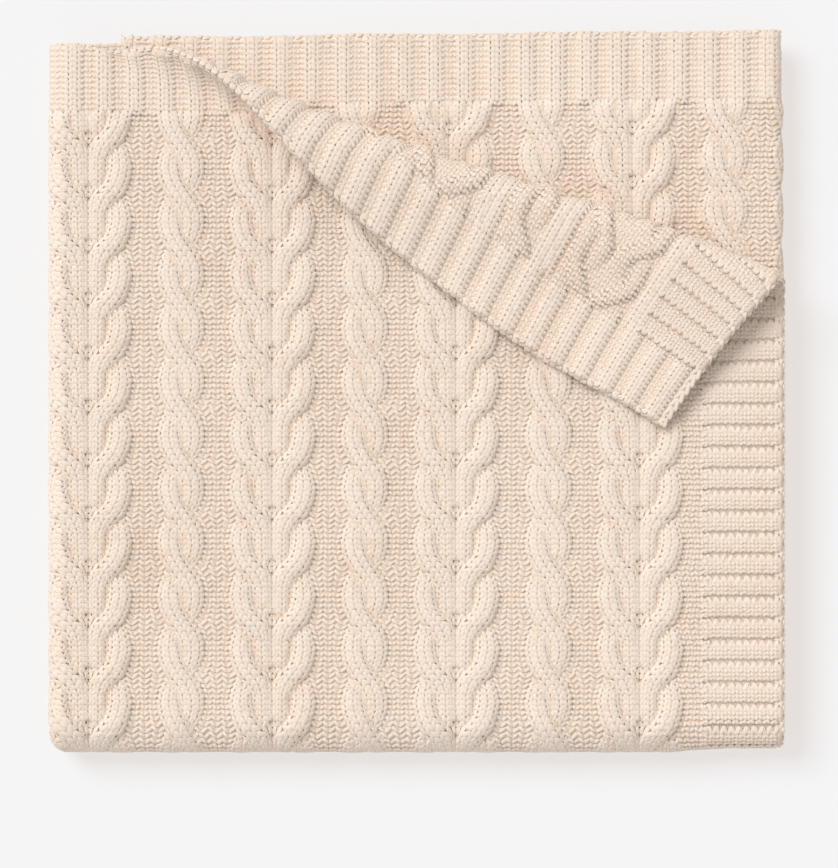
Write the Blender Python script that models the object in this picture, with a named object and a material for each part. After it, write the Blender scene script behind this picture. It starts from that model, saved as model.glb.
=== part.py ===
"""Folded cable knit baby blanket, one piece of cloth, in metres with +Z up.

The knit is laid out flat in u (across, from the free edge of the top panel) and v (down, from
the ribbed top edge). It is folded in three across, then in half, and one corner is turned back.
"""
import bpy
import numpy as np
from mathutils import Vector
from mathutils.geometry import delaunay_2d_cdt

# Gauge of the knit
STITCH = 0.003675
ROW = 0.002568
CABLE_PITCH = 12 * STITCH
TWIST = 10 * ROW
CABLES = 21
FIRST_CABLE = 0.0685
BORDER = 0.0379
RIB_END = 0.0317
FIRST_NOTCH = 0.0473

# Cloth and layers
HALF = 0.0015
PITCH = 0.0050
TOP_LAYER = 2.5 * PITCH
CENTRE_HEIGHT = HALF + TOP_LAYER

# Heights of the raised knit
CABLE_HEIGHT = 0.0034
RIB_HEIGHT = 0.0016
WELT_HEIGHT = 0.0014
BACK_HEIGHT = 0.0014
BAND_EDGE = 0.45 * STITCH

# One strand of a cable over its two twists: phase, place across, half width, height
WIDE_STRAND = np.array(
    [
        (0.00, 0.22, 0.40, 0.16),
        (0.12, 0.32, 0.44, 0.42),
        (0.26, 0.40, 0.50, 0.72),
        (0.46, 0.44, 0.57, 0.90),
        (0.70, 0.32, 0.58, 1.00),
        (0.86, 0.08, 0.68, 1.00),
        (0.98, -0.18, 0.80, 0.98),
        (1.10, -0.38, 0.66, 0.88),
        (1.30, -0.54, 0.50, 0.74),
        (1.60, -0.54, 0.50, 0.60),
        (1.80, -0.56, 0.48, 0.44),
        (1.96, -0.58, 0.46, 0.22),
        (2.00, 0.22, 0.40, 0.16),
    ]
)
NARROW_STRAND = np.array(
    [
        (0.00, 0.22, 0.42, 0.16),
        (0.12, 0.34, 0.42, 0.44),
        (0.26, 0.42, 0.48, 0.74),
        (0.46, 0.45, 0.55, 0.90),
        (0.68, 0.36, 0.57, 1.00),
        (0.84, 0.18, 0.58, 1.00),
        (1.00, -0.04, 0.60, 0.98),
        (1.16, -0.30, 0.58, 0.92),
        (1.34, -0.45, 0.55, 0.84),
        (1.56, -0.47, 0.53, 0.72),
        (1.76, -0.36, 0.50, 0.50),
        (1.94, -0.16, 0.44, 0.20),
        (2.00, 0.22, 0.42, 0.16),
    ]
)
WIDE_HALF = 0.0106
NARROW_HALF = 0.0117

# Outline of the folded pack
FREE_EDGE_X = 0.1757
LEFT_CENTRE_X = -0.1677
RIGHT_CENTRE_X = 0.1717
TOP_EDGE_Y = 0.1666
BOTTOM_CENTRE_Y = -0.1570
MIDDLE_RISE = (0.0067, 0.0034)

# Turned corner: the crease line, how it bows, its radius, and how the soft knit gives
CREASE_ANGLE = np.radians(18.9)
CREASE_Y = 0.0441
CREASE_LENGTH = 0.300
CREASE_BOW = -0.0040
CREASE_WAVE = -0.0627
ROLL_RADIUS = 0.0080
ROLL_GROWTH = 0.0154
ROLL_GROWS_FROM = 0.35
FLAP_SLIDE = (0.191, -0.267, -0.263)
FLAP_SHRINK = (-0.092, 0.281, 0.643)
FLAP_REST = 0.0080
FLAP_FALL = (0.045, 0.085)
LEFT_EASE = 0.050
UNDER_EDGE = 0.012
LEFT_CURL = -0.50
CURL_EASE = 0.08
MIDDLE_CLEAR = 0.45
MIDDLE_EASE = 0.3
BACK_CLEAR = 0.6
BACK_EASE = 0.5
FALL_FROM = -0.35
FALL_EASE = 0.3

# How far round the left and front folds the raised knit goes, as a share of a half turn
SIDE_TURN = 0.6
FRONT_TURN = 0.62
FOLD_SWELL = 0.0033
FOLD_EVEN = 0.85
EVEN_FROM = 0.10
EVEN_WITHIN = 0.33
BORDER_SWELL = 0.35
SWELL_FROM = 0.6 * BORDER
EDGE_EASE = 0.003

# Spacing of the mesh
LEFT_TURNS = 6
RIGHT_TURNS = 4
BOTTOM_TURNS = 10
TWIST_PHASES = (0.0, 0.28, 0.55, 0.82)
WIDE_COLUMNS = (0, 1.5, 3, 4.5, 5.75, 6.6)
NARROW_COLUMNS = (0, 1.5, 2.75, 3.6)
WELT_COLUMNS = (0.0032, 0.0180, 0.0365, 0.0400)
RIB_ROWS = (0.0100, 0.0205, RIB_END - ROW)
EDGE_GAP = 0.0015
LEAN = 0.03
ROLL_SPACING = 0.0055
HIDDEN_SPACING = 0.024
SHOWN_LEAST = 0.02

# Where the folds begin and end in the flat cloth
U_LEFT = FREE_EDGE_X - LEFT_CENTRE_X
U_LEFT_END = U_LEFT + np.pi * PITCH
U_RIGHT = U_LEFT_END + RIGHT_CENTRE_X - LEFT_CENTRE_X
U_RIGHT_END = U_RIGHT + np.pi * PITCH / 2
WIDTH = 2 * FIRST_CABLE + (CABLES - 1) * CABLE_PITCH
V_FOLD = TOP_EDGE_Y - BOTTOM_CENTRE_Y
V_FOLD_END = V_FOLD + np.pi * TOP_LAYER
LENGTH = V_FOLD + V_FOLD_END


def smooth(t):
    """A soft step from 0 to 1."""
    t = np.clip(t, 0.0, 1.0)
    return t * t * (3 - 2 * t)


def letter_fold(u):
    """Across the cloth: x, and the height in the stack of three layers."""
    left = np.clip((u - U_LEFT) / PITCH, 0, np.pi)
    right = np.clip((u - U_RIGHT) / (PITCH / 2), 0, np.pi)
    x = FREE_EDGE_X - np.minimum(u, U_LEFT) - PITCH * np.sin(left)
    x = x + np.clip(u - U_LEFT_END, 0, U_RIGHT - U_LEFT_END)
    x = x + PITCH / 2 * np.sin(right) - np.maximum(u - U_RIGHT_END, 0)
    height = PITCH * (1 + np.cos(left)) + PITCH / 2 * (1 - np.cos(right))
    return x, height


def half_fold(v, height):
    """Down the cloth: y and z of a layer at that height in the stack."""
    turn = np.clip((v - V_FOLD) / TOP_LAYER, 0, np.pi)
    radius = height + PITCH / 2
    y = BOTTOM_CENTRE_Y + np.maximum(V_FOLD - v, 0) - radius * np.sin(turn)
    y = y + np.maximum(v - V_FOLD_END, 0)
    z = CENTRE_HEIGHT + radius * np.cos(turn)
    return y, z


def crease(x, y):
    """Place along the crease, the same as a share of its length, its bow, and the distance past it."""
    cos, sin = np.cos(CREASE_ANGLE), np.sin(CREASE_ANGLE)
    along = (x - FREE_EDGE_X) * cos - (y - CREASE_Y) * sin
    share = along / CREASE_LENGTH
    bow = share * (1 + share) * (CREASE_BOW + CREASE_WAVE * (0.5 + share))
    past = (x - FREE_EDGE_X) * sin + (y - CREASE_Y) * cos - bow
    past = past * smooth((x - LEFT_CENTRE_X) / LEFT_EASE)
    return along, share, bow, past


def roll_radius(share):
    """The roll is tight over the middle and opens towards the left end."""
    return ROLL_RADIUS + ROLL_GROWTH * np.maximum(-share - ROLL_GROWS_FROM, 0) ** 1.5


def turn_corner(x, y, z):
    """Roll what lies past the crease up and back over the top panel."""
    cos, sin = np.cos(CREASE_ANGLE), np.sin(CREASE_ANGLE)
    along, share, bow, past = crease(x, y)
    radius = roll_radius(share)
    angle = np.clip(past / radius, 0, np.pi)
    back = np.maximum(past - np.pi * radius, 0)
    fall = FLAP_FALL[0] + (FLAP_FALL[1] - FLAP_FALL[0]) * smooth((share - FALL_FROM) / FALL_EASE)
    drop = (2 * radius - FLAP_REST) * smooth(back / fall)
    mid = share + 0.5
    slide = FLAP_SLIDE[0] + FLAP_SLIDE[1] * mid + FLAP_SLIDE[2] * mid**2
    shrink = FLAP_SHRINK[0] + FLAP_SHRINK[1] * mid + FLAP_SHRINK[2] * mid**2
    across = bow + radius * np.sin(angle) - back * (1 - shrink)
    along = along + back * slide
    turned = past > 0
    x = np.where(turned, FREE_EDGE_X + along * cos + across * sin, x)
    y = np.where(turned, CREASE_Y - along * sin + across * cos, y)
    z = np.where(turned, z + radius * (1 - np.cos(angle)) - drop, z)
    return x, y, z


def rise(u, v):
    """How far the folded-in panels stand out past the top panel's upper edge."""
    across = np.clip((u - U_LEFT_END) / (U_RIGHT - U_LEFT_END), 0, 1)
    end = np.clip((u - U_RIGHT_END) / (WIDTH - U_RIGHT_END), 0, 1)
    full = MIDDLE_RISE[0] * across + (MIDDLE_RISE[1] - MIDDLE_RISE[0]) * end
    return full * smooth((V_FOLD - v) / V_FOLD)


def middle(u, v):
    """The middle of the cloth in space."""
    x, height = letter_fold(u)
    y, z = half_fold(v, height)
    y = y + rise(u, v)
    tx, ty, tz = turn_corner(x, y, z)
    top = (u < U_LEFT) & (v < V_FOLD)
    return np.stack([np.where(top, tx, x), np.where(top, ty, y), np.where(top, tz, z)], axis=-1)


def on_cloth(u, v, offset):
    """A point at an offset from the middle, towards the right side of the knit."""
    step = 1e-5
    du = middle(u + step, v) - middle(u - step, v)
    dv = middle(u, v + step) - middle(u, v - step)
    normal = np.cross(du, dv)
    normal /= np.linalg.norm(normal, axis=-1, keepdims=True)
    return middle(u, v) + offset[..., None] * normal


def rope(across, phase, strand):
    """Height of a rope of two strands, from 0 to 1. Across is 1 at its outer and -1 at its inner side."""
    height = np.zeros_like(across)
    for start in (0.0, 1.0):
        turn = np.mod(phase + start, 2.0)
        place, reach, top = (np.interp(turn, strand[:, 0], strand[:, i]) for i in (1, 2, 3))
        round_off = np.clip(1 - ((across - place) / reach) ** 2, 0, 1)
        height = np.maximum(height, top * np.sqrt(round_off))
    return height


def chart(u):
    """The nearest cable's number and the distance from its middle."""
    number = np.clip(np.round((u - FIRST_CABLE) / CABLE_PITCH), 0, CABLES - 1)
    return number, u - FIRST_CABLE - number * CABLE_PITCH


def ribbing(u):
    """1 on the knit ribs and 0 on the purl ribs between them."""
    wave = -np.cos(6 * np.pi * (u - FIRST_CABLE) / CABLE_PITCH)
    return smooth(0.5 + 0.8 * wave)


def welting(v):
    """1 on the purl welts of the side border and 0 between them."""
    return smooth(0.5 + 0.7 * np.cos(2 * np.pi * (v - RIB_END - ROW) / (4 * ROW)))


def face_relief(u, v):
    """How far the right side stands proud of the plain cloth."""
    number, across = chart(u)
    phase = (v - FIRST_NOTCH) / TWIST
    wide = rope(np.abs(across) / WIDE_HALF - 1, phase, WIDE_STRAND)
    narrow = rope(across / NARROW_HALF, phase, NARROW_STRAND)
    height = CABLE_HEIGHT * np.where(np.mod(number, 2) == 0, wide, narrow)
    border = np.minimum(u, WIDTH - u) < BORDER
    height = np.where(border, WELT_HEIGHT * welting(v), height)
    into = smooth((v - RIB_END) / (2 * ROW))
    return height * into + RIB_HEIGHT * ribbing(u) * (1 - into)


def back_relief(u, v):
    """How far the wrong side stands proud: bands of knit between the cables, ribs and welts."""
    number, across = chart(u)
    edge = np.where(np.mod(number, 2) == 0, 6, 3) * STITCH
    bands = smooth((np.abs(across) - edge + BAND_EDGE) / (0.8 * STITCH))
    border = np.minimum(u, WIDTH - u) < BORDER
    height = BACK_HEIGHT * np.where(border, 1 - welting(v), bands)
    into = smooth((v - RIB_END) / (2 * ROW))
    return height * into + RIB_HEIGHT * (1 - ribbing(u)) * (1 - into)


def flap_edge():
    """The turned corner's edge on the top panel: its place along the crease, and how far back."""
    u = np.concatenate([np.linspace(U_LEFT, 0, 120), np.zeros(60)])
    v = np.concatenate([np.zeros(120), np.linspace(0, TOP_EDGE_Y - CREASE_Y, 60)])
    spot = middle(u, v)
    _, share, _, past = crease(spot[:, 0], spot[:, 1])
    order = np.argsort(share)
    return share[order], np.minimum(past[order], 0)


EDGE_SHARE, EDGE_PAST = flap_edge()


def place_on_panel(u, v):
    """Where a point of the flat top panel lies by the crease, before the corner is turned."""
    x, _ = letter_fold(u)
    _, share, _, past = crease(x, TOP_EDGE_Y - v)
    return share, past, roll_radius(share)


def face_shown(u, v):
    """1 where the right side shows from above, easing to 0 where it is hidden."""
    share, past, radius = place_on_panel(u, v)
    limit = np.interp(share, EDGE_SHARE, EDGE_PAST, right=0.0)
    clear = smooth((limit + UNDER_EDGE - past) / UNDER_EDGE)
    curled = smooth((LEFT_CURL - share) / CURL_EASE)
    curled = curled * smooth((0.5 * np.pi * radius - past) / EDGE_EASE)
    side = smooth((U_LEFT + SIDE_TURN * np.pi * PITCH - u) / EDGE_EASE)
    front = smooth((V_FOLD + FRONT_TURN * np.pi * TOP_LAYER - v) / EDGE_EASE)
    top = np.maximum(clear, curled) * side * front
    beyond = smooth((u - U_RIGHT_END + 0.5 * PITCH) / EDGE_EASE) * (v < V_FOLD)
    return top + beyond * smooth((past / radius - MIDDLE_CLEAR) / MIDDLE_EASE)


def back_shown(u, v):
    """1 where the wrong side shows on the turned corner."""
    _, past, radius = place_on_panel(u, v)
    return smooth((past / radius - BACK_CLEAR) / BACK_EASE) * (u < U_LEFT) * (v < V_FOLD)


def face_height(u, v):
    """Height of the raised knit, evened out where the cloth is drawn tight round the side and front folds."""
    side = smooth(((u - U_LEFT) / (np.pi * PITCH) - EVEN_FROM) / EVEN_WITHIN) * (u < U_LEFT_END)
    front = smooth(((v - V_FOLD) / (np.pi * TOP_LAYER) - EVEN_FROM) / EVEN_WITHIN)
    even = FOLD_EVEN * np.maximum(side, front)
    swell = FOLD_SWELL * (BORDER_SWELL + (1 - BORDER_SWELL) * smooth((u - SWELL_FROM) / BORDER))
    return face_relief(u, v) * (1 - even) + swell * even


def face_point(u, v):
    shown = face_shown(u, v)
    return on_cloth(u, v, HALF + shown * face_height(u, v))


def back_point(u, v):
    shown = back_shown(u, v)
    return on_cloth(u, v, -HALF - shown * back_relief(u, v))


def cable_columns(first, last):
    """Lines down the cloth that follow the cables' middles, strands and edges."""
    lines = []
    for number in range(first, last + 1):
        reach = WIDE_COLUMNS if number % 2 == 0 else NARROW_COLUMNS
        for stitches in reach:
            for side in {-1, 1} if stitches else {1}:
                lines.append(FIRST_CABLE + number * CABLE_PITCH + side * stitches * STITCH)
    return sorted(lines)


def twist_rows(first, last):
    """Lines across the cloth, at the same phases of every twist of the cables."""
    notches = FIRST_NOTCH + TWIST * np.arange(-1, V_FOLD // TWIST)
    rows = np.add.outer(notches, TWIST * np.array(TWIST_PHASES)).ravel()
    return rows[(rows > first) & (rows < last)]


def turn_lines(start, radius, count):
    """The lines of a fold, evenly spaced round it."""
    return [start + radius * np.pi * i / count for i in range(count + 1)]


def spread(us, vs):
    """Every crossing of two sets of lines."""
    grid_u, grid_v = np.meshgrid(np.asarray(us, float), np.asarray(vs, float))
    return np.column_stack([grid_u.ravel(), grid_v.ravel()])


def lean(points):
    """Tilt the rows a little in each cable, so that the triangles run along its strands."""
    number, across = chart(points[:, 0])
    wide = np.mod(number, 2) == 0
    shift = LEAN * np.where(wide, np.abs(across), across)
    return np.column_stack([points[:, 0], points[:, 1] + shift])


def roll_points(turns, spacing):
    """Points round the roll of the turned corner, in lines along the crease."""
    cos, sin = np.cos(CREASE_ANGLE), np.sin(CREASE_ANGLE)
    found = []
    for turn in turns:
        along = np.arange(-CREASE_LENGTH * 1.2, 0.05, spacing)
        share = along / CREASE_LENGTH
        bow = share * (1 + share) * (CREASE_BOW + CREASE_WAVE * (0.5 + share))
        past = bow + turn * np.pi * roll_radius(share)
        x = FREE_EDGE_X + along * cos + past * sin
        y = CREASE_Y - along * sin + past * cos
        found.append(np.column_stack([FREE_EDGE_X - x, TOP_EDGE_Y - y]))
    found = np.concatenate(found)
    inside = (found[:, 0] > EDGE_GAP) & (found[:, 0] < U_LEFT - EDGE_GAP) & (found[:, 1] > EDGE_GAP)
    return found[inside]


def rim_points():
    """The cloth's edge, shared by both sides: fine where it shows and coarse elsewhere."""
    ribs = cable_columns(0, CABLES - 1)
    shown = [u for u in ribs if EDGE_GAP < u < U_LEFT or U_RIGHT_END < u < WIDTH - EDGE_GAP]
    folds = turn_lines(U_LEFT, PITCH, LEFT_TURNS) + turn_lines(U_RIGHT, PITCH / 2, RIGHT_TURNS)
    top = sorted(shown + folds)
    bends = turn_lines(V_FOLD, TOP_LAYER, BOTTOM_TURNS)
    welts = list(np.arange(2 * ROW, V_FOLD, 2 * ROW))
    left = [v for v in np.linspace(0, V_FOLD, 8)[1:-1]] + bends
    return [
        spread([0, WIDTH], [0, LENGTH]),
        spread(top, [0]),
        spread(folds, [LENGTH]),
        spread([0], welts + bends),
        spread([WIDTH], left),
    ]


def fold_points():
    """The lines of the two long folds and of the fold across the middle."""
    left = turn_lines(U_LEFT, PITCH, LEFT_TURNS)
    right = turn_lines(U_RIGHT, PITCH / 2, RIGHT_TURNS)
    bends = turn_lines(V_FOLD, TOP_LAYER, BOTTOM_TURNS)
    edges = [0, WIDTH]
    return [spread(left + right, bends), spread(edges, bends), spread(left + right, [0, LENGTH])]


def face_points():
    """Points on the right side, close together where the raised knit shows."""
    bends = turn_lines(V_FOLD, TOP_LAYER, BOTTOM_TURNS)
    half_turn = bends[: BOTTOM_TURNS // 2 + 2]
    left = turn_lines(U_LEFT, PITCH, LEFT_TURNS)[: LEFT_TURNS // 2 + 2]
    cables = [u for u in cable_columns(0, CABLES - 1) if u > BORDER]
    top = [u for u in cables if u < U_LEFT - 0.002] + left
    rows = list(RIB_ROWS) + list(twist_rows(RIB_END + ROW, V_FOLD - ROW))
    middle_panel = [u for u in cables if U_RIGHT_END < u < WIDTH - BORDER]
    welts = np.arange(RIB_END + ROW, half_turn[-1], 2 * ROW)
    detailed = np.concatenate(
        [
            lean(spread(top, rows)),
            spread(top, half_turn),
            spread(WELT_COLUMNS, welts),
            spread(WELT_COLUMNS, half_turn),
            lean(spread(middle_panel, rows[: len(rows) // 2])),
        ]
    )
    detailed = detailed[face_shown(detailed[:, 0], detailed[:, 1]) > SHOWN_LEAST]
    turned = roll_points(np.linspace(0, 1, 7), HIDDEN_SPACING)
    hidden = face_shown(turned[:, 0], turned[:, 1]) <= SHOWN_LEAST
    return rim_points() + fold_points() + [detailed, turned[hidden]]


def back_points():
    """Points on the wrong side, close together on the turned corner."""
    ribs = [u for u in cable_columns(0, CABLES - 1) if EDGE_GAP < u < U_LEFT - EDGE_GAP]
    rows = list(RIB_ROWS) + list(twist_rows(RIB_END + ROW, V_FOLD - ROW))
    welts = np.arange(RIB_END + ROW, V_FOLD, 2 * ROW)
    flat = np.concatenate([spread(ribs, rows), spread(WELT_COLUMNS, welts)])
    _, past, radius = place_on_panel(flat[:, 0], flat[:, 1])
    flat = flat[past > 1.04 * np.pi * radius]
    rolled = roll_points(np.linspace(0, 1, 8), ROLL_SPACING)
    return rim_points() + fold_points() + [flat, rolled]


def triangulate(groups):
    """Join the points of one side into triangles in the flat cloth, keeping its folds as lines."""
    points = np.unique(np.round(np.concatenate(groups), 7), axis=0)
    rim = [
        points[:, 0] < 1e-6,
        points[:, 1] > LENGTH - 1e-6,
        points[:, 0] > WIDTH - 1e-6,
        points[:, 1] < 1e-6,
    ]
    lines = [np.flatnonzero(side) for side in rim]
    folds = turn_lines(U_LEFT, PITCH, LEFT_TURNS) + turn_lines(U_RIGHT, PITCH / 2, RIGHT_TURNS)
    for u in folds:
        lines.append(np.flatnonzero(np.abs(points[:, 0] - u) < 1e-6))
    for v in turn_lines(V_FOLD, TOP_LAYER, BOTTOM_TURNS):
        lines.append(np.flatnonzero(np.abs(points[:, 1] - v) < 1e-6))
    edges = []
    for line in lines:
        order = line[np.lexsort((points[line, 0], points[line, 1]))]
        edges += [(int(a), int(b)) for a, b in zip(order[:-1], order[1:])]
    flat = [Vector(point) for point in points]
    out = delaunay_2d_cdt(flat, edges, [], 0, 1e-7)
    return np.array([tuple(p) for p in out[0]]), [tuple(f) for f in out[2]]


def rim_loop(points):
    """The numbers of the points on the cloth's edge, in order round it."""
    u, v = points[:, 0], points[:, 1]
    near = 1e-6
    top = np.flatnonzero(v < near)
    far = np.flatnonzero((u > WIDTH - near) & (v > near))
    low = np.flatnonzero((v > LENGTH - near) & (u < WIDTH - near))
    free = np.flatnonzero((u < near) & (v > near) & (v < LENGTH - near))
    parts = [
        top[np.argsort(u[top])],
        far[np.argsort(v[far])],
        low[np.argsort(-u[low])],
        free[np.argsort(-v[free])],
    ]
    return np.concatenate(parts)


def build_cloth():
    """Both sides and the rim between them, as one closed mesh."""
    face_flat, face_triangles = triangulate(face_points())
    back_flat, back_triangles = triangulate(back_points())
    face = face_point(face_flat[:, 0], face_flat[:, 1])
    back = back_point(back_flat[:, 0], back_flat[:, 1])
    face_rim = rim_loop(face_flat)
    back_rim = rim_loop(back_flat) + len(face)
    count = len(face_rim)
    triangles = list(face_triangles)
    triangles += [tuple(len(face) + i for i in reversed(t)) for t in back_triangles]
    for i in range(count):
        j = (i + 1) % count
        triangles.append((face_rim[j], face_rim[i], back_rim[i]))
        triangles.append((face_rim[j], back_rim[i], back_rim[j]))
    points = np.concatenate([face, back])
    low, high = points.min(axis=0), points.max(axis=0)
    points -= [(low[0] + high[0]) / 2, (low[1] + high[1]) / 2, low[2]]
    return points, [tuple(int(i) for i in t) for t in triangles]


def knit_cotton():
    material = bpy.data.materials.new("cream_cotton_knit")
    material.use_nodes = True
    shader = material.node_tree.nodes["Principled BSDF"]
    shader.inputs["Base Color"].default_value = (0.84, 0.73, 0.60, 1.0)
    shader.inputs["Roughness"].default_value = 0.95
    shader.inputs["Metallic"].default_value = 0.0
    return material


def main():
    for old in list(bpy.data.objects):
        bpy.data.objects.remove(old, do_unlink=True)
    points, triangles = build_cloth()
    mesh = bpy.data.meshes.new("blanket")
    mesh.from_pydata(points.tolist(), [], triangles)
    mesh.update()
    mesh.materials.append(knit_cotton())
    blanket = bpy.data.objects.new("blanket", mesh)
    bpy.context.scene.collection.objects.link(blanket)


main()
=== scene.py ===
"""Looks of the folded cable knit baby blanket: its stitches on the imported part's folds, and the studio.

The cloth is laid out flat in u (across, from the free edge of the top panel) and v (down, from the
ribbed top edge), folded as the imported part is, and then covered with bits of yarn.
"""

import bpy
import numpy as np
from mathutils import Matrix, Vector


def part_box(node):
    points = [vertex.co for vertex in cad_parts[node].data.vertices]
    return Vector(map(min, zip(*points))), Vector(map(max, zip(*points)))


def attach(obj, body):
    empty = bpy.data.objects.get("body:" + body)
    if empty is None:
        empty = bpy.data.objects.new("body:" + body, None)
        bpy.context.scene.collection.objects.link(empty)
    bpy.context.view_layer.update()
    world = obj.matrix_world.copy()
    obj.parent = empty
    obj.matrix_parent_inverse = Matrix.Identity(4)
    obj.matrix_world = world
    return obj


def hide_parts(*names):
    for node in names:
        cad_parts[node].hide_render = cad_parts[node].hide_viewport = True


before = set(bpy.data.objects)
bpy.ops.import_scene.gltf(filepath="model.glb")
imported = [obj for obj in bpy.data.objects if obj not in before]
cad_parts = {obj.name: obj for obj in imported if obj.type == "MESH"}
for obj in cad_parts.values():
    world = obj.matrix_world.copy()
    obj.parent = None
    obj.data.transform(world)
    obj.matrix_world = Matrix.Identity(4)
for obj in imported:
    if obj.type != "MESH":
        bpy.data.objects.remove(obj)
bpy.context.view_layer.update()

_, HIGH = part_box("blanket")

# Gauge of the knit
STITCH = 0.003675
ROW = 0.002568
CABLE_PITCH = 12 * STITCH
TWIST = 10 * ROW
CABLES = 21
FIRST_CABLE = 0.0685
BORDER = 0.0379
RIB_END = 0.0317
FIRST_NOTCH = 0.0473
SELVAGE = 1.10 * STITCH

# Cloth and layers
HALF = 0.0015
PITCH = 0.0050
TOP_LAYER = 2.5 * PITCH
CENTRE_HEIGHT = HALF + TOP_LAYER

# Heights of the raised knit, the wrong side's ribs, bands and cables among them
CABLE_HEIGHT = 0.0041
RIB_HEIGHT = 0.0016
BACK_RIB = 0.0021
WELT_HEIGHT = 0.0013
BACK_HEIGHT = 0.0016
BACK_CABLE = 0.0030
GAP_HEIGHT = 0.0005

# Ribs and welts as waves: how often they come, and how broad and steep each is
RIB_ROWS = 12
RIBS_PER_CABLE = 3
RIB_BROAD = 0.62
RIB_STEEP = 0.95
WELT_ROWS = 4
WELTS = 70
WELT_BROAD = 3.2
WELT_STEEP = 3.4
BACK_WELT_SHIFT = WELT_ROWS / 2 * ROW

# How fast one kind of knit passes into the next
RIB_EASE = 2 * ROW
BORDER_EASE = 1.2 * STITCH
BAND_EDGE = 0.45 * STITCH
BAND_EASE = 0.8 * STITCH

# One strand of a cable over its two twists: phase, place across, half width, height
WIDE_STRAND = np.array(
    [
        (0.00, 0.22, 0.40, 0.16),
        (0.12, 0.32, 0.44, 0.42),
        (0.26, 0.40, 0.50, 0.72),
        (0.46, 0.44, 0.57, 0.90),
        (0.70, 0.32, 0.58, 1.00),
        (0.86, 0.08, 0.68, 1.00),
        (0.98, -0.18, 0.80, 0.98),
        (1.10, -0.38, 0.66, 0.84),
        (1.30, -0.54, 0.50, 0.66),
        (1.60, -0.54, 0.50, 0.50),
        (1.80, -0.56, 0.48, 0.36),
        (1.96, -0.58, 0.46, 0.22),
        (2.00, 0.22, 0.40, 0.16),
    ]
)
NARROW_STRAND = np.array(
    [
        (0.00, 0.22, 0.42, 0.16),
        (0.12, 0.34, 0.42, 0.44),
        (0.26, 0.42, 0.48, 0.74),
        (0.46, 0.45, 0.55, 0.90),
        (0.68, 0.36, 0.57, 1.00),
        (0.84, 0.18, 0.58, 1.00),
        (1.00, -0.04, 0.60, 0.98),
        (1.16, -0.30, 0.58, 0.92),
        (1.34, -0.45, 0.55, 0.84),
        (1.56, -0.47, 0.53, 0.72),
        (1.76, -0.36, 0.50, 0.50),
        (1.94, -0.16, 0.44, 0.20),
        (2.00, 0.22, 0.42, 0.16),
    ]
)
# The same strands from behind, where the other one crosses in front
BACK_STRAND = np.array(
    [
        (0.00, 0.42, 0.44, 0.95),
        (0.30, 0.48, 0.44, 0.75),
        (0.60, 0.42, 0.40, 0.50),
        (0.90, 0.10, 0.40, 0.10),
        (1.10, -0.40, 0.40, 0.25),
        (1.35, -0.54, 0.42, 0.60),
        (1.55, -0.45, 0.46, 0.85),
        (1.75, -0.05, 0.54, 1.00),
        (2.00, 0.42, 0.44, 0.95),
    ]
)
WIDE_HALF = 0.0106
NARROW_HALF = 0.0117
WIDE_WALES = 6
NARROW_WALES = 3

# The crease beside the upper strand: how deep the lower one is pressed there, and how much painted shade
# darkens its stitches' colour
WIDE_PRESS = 0.40
NARROW_PRESS = 0.30
PRESS_AT = 1.08
PRESS_WIDTH = 0.18
PRESS_STEP = 0.2
SHADE_WIDTH = 0.22
CREASE_SHADE = 0.6

# The small holes down the middle of a wide cable: share of the twist, spread and depth
PITS = ((0.84, 0.045, 0.0040), (0.97, 0.030, 0.0024))
PIT_HALF = 0.0013

# Outline of the folded pack
FREE_EDGE_X = 0.1757
LEFT_CENTRE_X = -0.1677
RIGHT_CENTRE_X = 0.1717
TOP_EDGE_Y = 0.1666
BOTTOM_CENTRE_Y = -0.1570
MIDDLE_RISE = (0.0067, 0.0034)

# Turned corner: the crease line, how it bows, its radius, and how the soft knit gives
CREASE_ANGLE = np.radians(18.9)
CREASE_Y = 0.0441
CREASE_LENGTH = 0.300
CREASE_BOW = -0.0040
CREASE_WAVE = -0.0627
ROLL_RADIUS = 0.0080
ROLL_GROWTH = 0.0154
ROLL_GROWS_FROM = 0.35
FLAP_SLIDE = (0.191, -0.267, -0.263)
FLAP_SHRINK = (-0.092, 0.281, 0.643)
FLAP_REST = 0.0080
FLAP_FALL = (0.045, 0.085)
FALL_FROM = -0.35
FALL_EASE = 0.3
LEFT_EASE = 0.050
EDGE_SAMPLES = (120, 60)
NUDGE = 1e-5

# Where the raised knit ends under the turned corner and round the folds
UNDER_EDGE = 0.012
LEFT_CURL = -0.50
CURL_EASE = 0.08
MIDDLE_CLEAR = 0.45
MIDDLE_EASE = 0.3
BACK_CLEAR = 0.6
BACK_EASE = 0.5
SIDE_TURN = 0.6
FRONT_TURN = 0.62
EDGE_EASE = 0.003
FOLD_RELIEF = 0.35
FOLD_RELIEF_TURN = 0.82
FOLD_END_GAP = 0.0005

# How the knit is evened out where the cloth is drawn tight round the side and front folds
FOLD_SWELL = 0.0033
FOLD_EVEN = 0.85
EVEN_FROM = 0.10
EVEN_WITHIN = 0.33
BORDER_SWELL = 0.35
SWELL_FROM = 0.6 * BORDER

# How far stitches go on past what shows: turns of a fold as shares of a half turn, and margins
SEEN_UNDER = 0.010
SEEN_CURL = 0.04
SEEN_CURL_TURN = 0.62
SEEN_SIDE_TURN = 0.95
SEEN_FRONT_TURN = 0.80
SEEN_RIGHT = 0.002
SEEN_TOP = 0.010
SEEN_MARGIN = 0.001
SEEN_BACK = 0.35

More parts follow.
